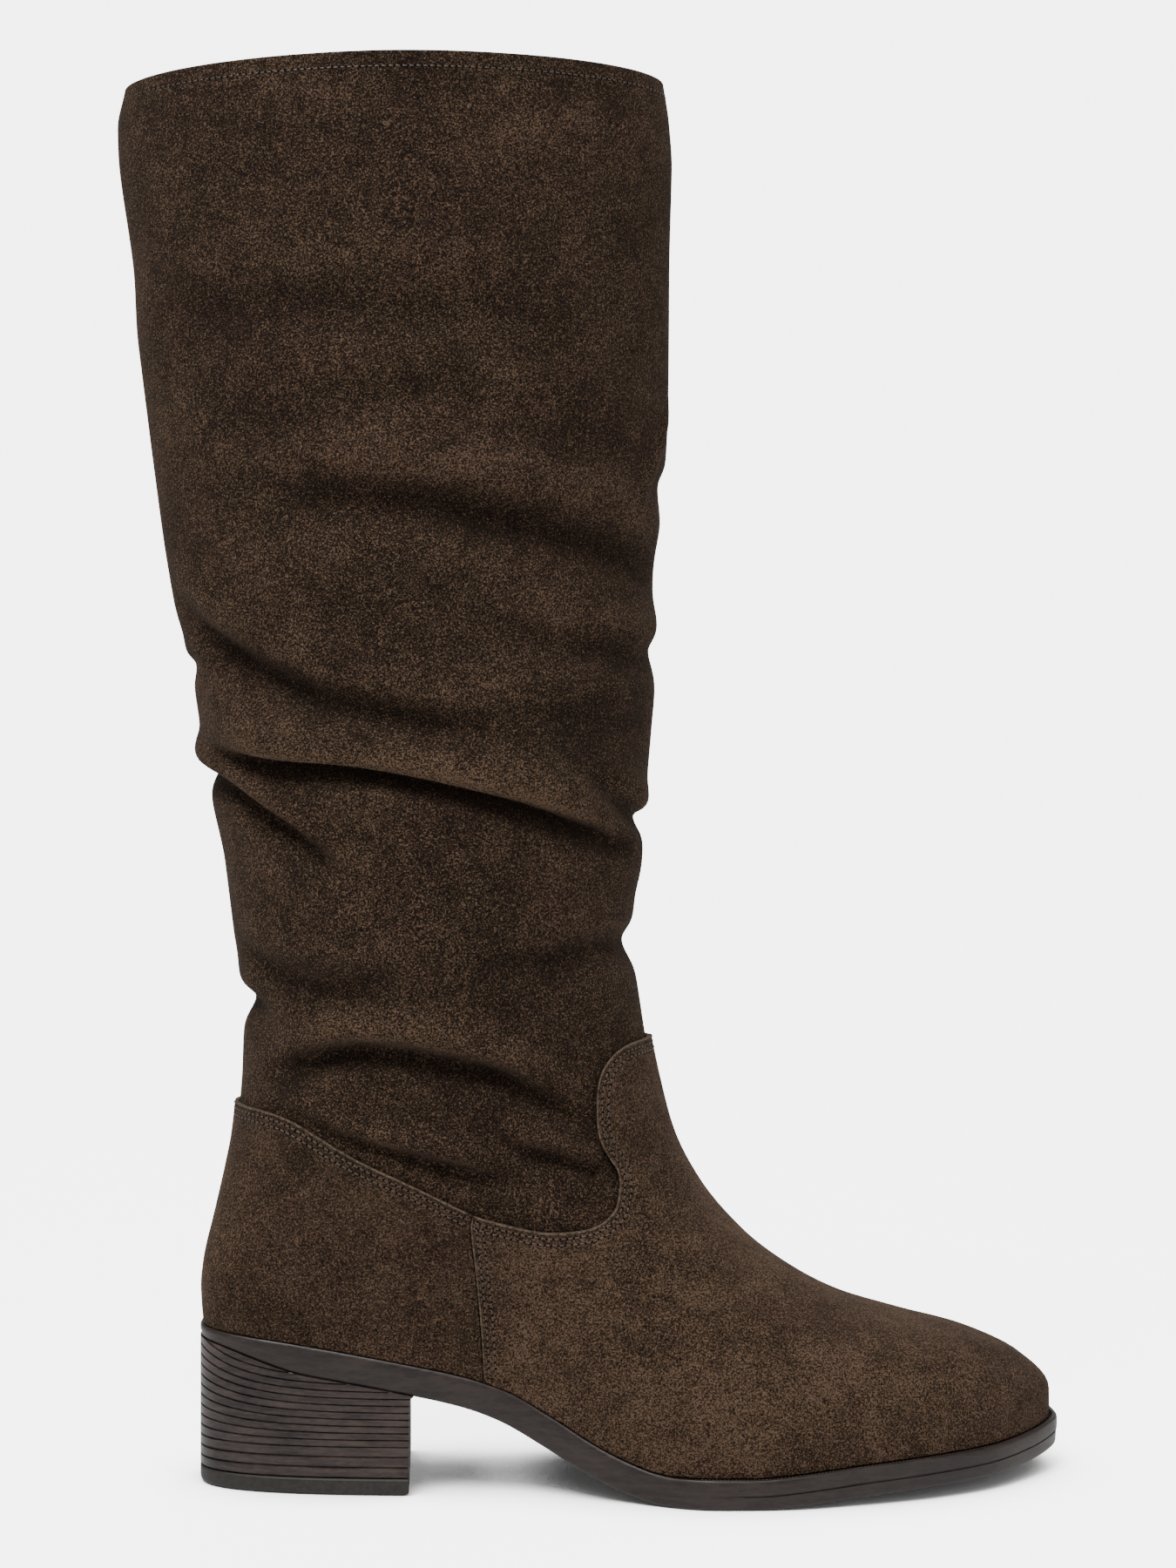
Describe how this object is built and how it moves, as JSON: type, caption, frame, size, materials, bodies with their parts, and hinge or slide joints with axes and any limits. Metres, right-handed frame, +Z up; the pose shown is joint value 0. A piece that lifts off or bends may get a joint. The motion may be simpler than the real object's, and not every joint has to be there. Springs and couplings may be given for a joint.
{
  "type": "slouch boot",
  "caption": "Knee-high pull-on suede boot with a slouched shaft, vamp and counter overlays, a moulded sole and a stacked block heel.",
  "frame": {"origin": "centre of the heel's face on the floor", "axes": "+X towards the toe, +Z up, -Y towards the boot's outer (lateral) side"},
  "size_m": [0.2872, 0.0983, 0.4225],
  "materials": {
    "suede": "brushed dark brown suede",
    "sole": "semi-gloss dark brown",
    "heel": "dark brown, grooved as stacked leather",
    "top_lift": "matt dark grey",
    "insole": "smooth brown lining leather"
  },
  "bodies": {
    "root": {"upper": "suede", "vamp": "suede", "counter": "suede", "outsole": "sole", "insole": "insole", "heel": "heel", "top_lift": "top_lift"}
  },
  "joints": []
}
